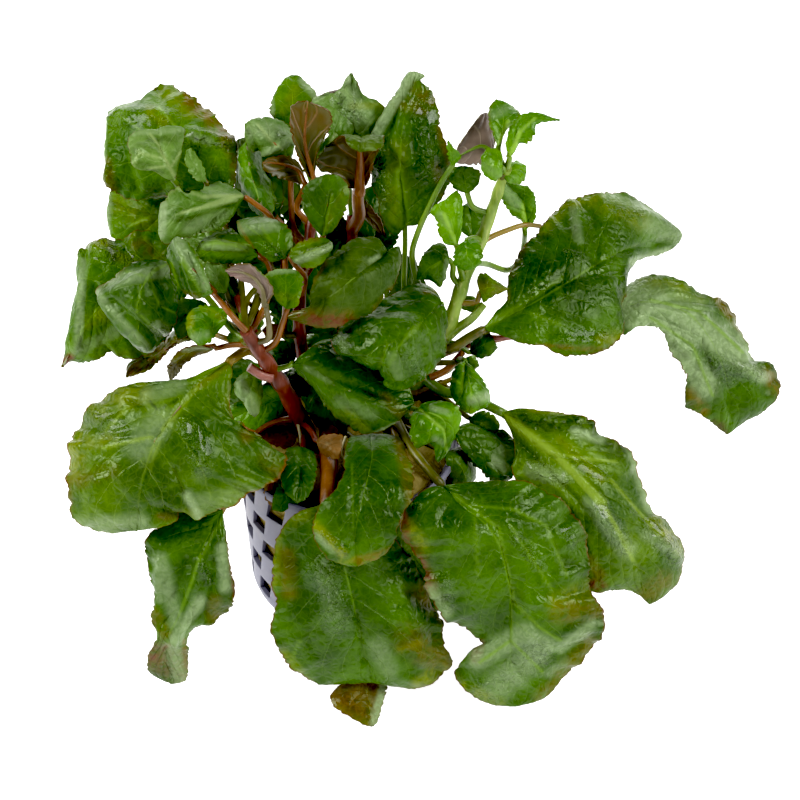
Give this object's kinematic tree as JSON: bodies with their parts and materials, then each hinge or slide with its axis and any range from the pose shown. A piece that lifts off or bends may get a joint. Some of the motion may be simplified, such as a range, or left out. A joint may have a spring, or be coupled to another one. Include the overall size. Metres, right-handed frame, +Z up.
{
  "type": "potted aquarium plant",
  "caption": "Bushy aquarium plant with ruffled glossy green leaves on red stems, growing from a small lattice net pot.",
  "frame": {"origin": "middle of the flat underside of the pot, on the floor", "axes": "+Z up along the pot's axis; +X to the right of the picture; +Y away from the picture's viewer"},
  "size_m": [0.1756, 0.1094, 0.1227],
  "materials": {
    "pot_plastic": "satin",
    "mineral_wool": "rough fibrous",
    "stem_red": "satin",
    "stem_olive": "satin",
    "leaf_green": "glossy",
    "leaf_bright": "glossy",
    "leaf_brown": "satin"
  },
  "bodies": {
    "root": {"net_pot": "pot_plastic", "growing_medium": "mineral_wool", "stem_left": "stem_red", "stem_middle": "stem_red", "stem_back": "stem_red", "stem_right": "stem_olive", "leaf_left_high": "leaf_green", "leaf_left_high_inner": "leaf_green", "leaf_left_high_under": "leaf_green", "leaf_left_folded": "leaf_green", "leaf_left_broad": "leaf_green", "leaf_left_shiny": "leaf_green", "leaf_left_pointed": "leaf_green", "leaf_left_round": "leaf_green", "leaf_left_brown_edge": "leaf_green", "leaf_left_sickle": "leaf_green", "leaf_curled_grey": "leaf_brown", "leaf_centre_left_small": "leaf_green", "leaf_centre_left_upper": "leaf_green", "leaf_centre_left_ridge": "leaf_green", "leaf_centre_bright": "leaf_green", "leaf_top_left_grey": "leaf_green", "leaf_top_left_pale": "leaf_green", "leaf_top_left_tip": "leaf_green", "leaf_top_brown_upright": "leaf_brown", "leaf_top_brown_low": "leaf_brown", "leaf_top_brown_folded": "leaf_brown", "leaf_top_middle": "leaf_green", "leaf_top_tall": "leaf_green", "leaf_centre_heart": "leaf_green", "leaf_centre_dull": "leaf_green", "leaf_centre_quilted": "leaf_green", "leaf_front_long": "leaf_green", "leaf_front_hanging": "leaf_green", "leaf_front_largest": "leaf_green", "leaf_front_lowest": "leaf_brown", "leaf_low_left": "leaf_green", "leaf_left_largest": "leaf_green", "leaf_right_front": "leaf_green", "leaf_right_low": "leaf_green", "leaf_right_dark": "leaf_green", "leaf_right_large": "leaf_green", "leaf_right_far": "leaf_green", "shoot_leaf_left": "leaf_bright", "shoot_leaf_right": "leaf_bright", "shoot_leaf_grey": "leaf_bright", "shoot_leaf_round": "leaf_bright", "shoot_leaf_side": "leaf_bright", "shoot_leaf_small": "leaf_bright", "shoot_leaf_bright": "leaf_bright", "shoot_leaf_dark": "leaf_bright", "shoot_leaf_low_round": "leaf_bright", "leaf_centre_right_upper": "leaf_green", "leaf_right_olive": "leaf_green", "leaf_right_tiny": "leaf_green", "leaf_right_round": "leaf_green", "leaf_right_bright": "leaf_green", "leaf_crown_grey": "leaf_green", "leaf_crown_green": "leaf_green", "leaf_crown_dead": "leaf_brown"}
  },
  "joints": []
}
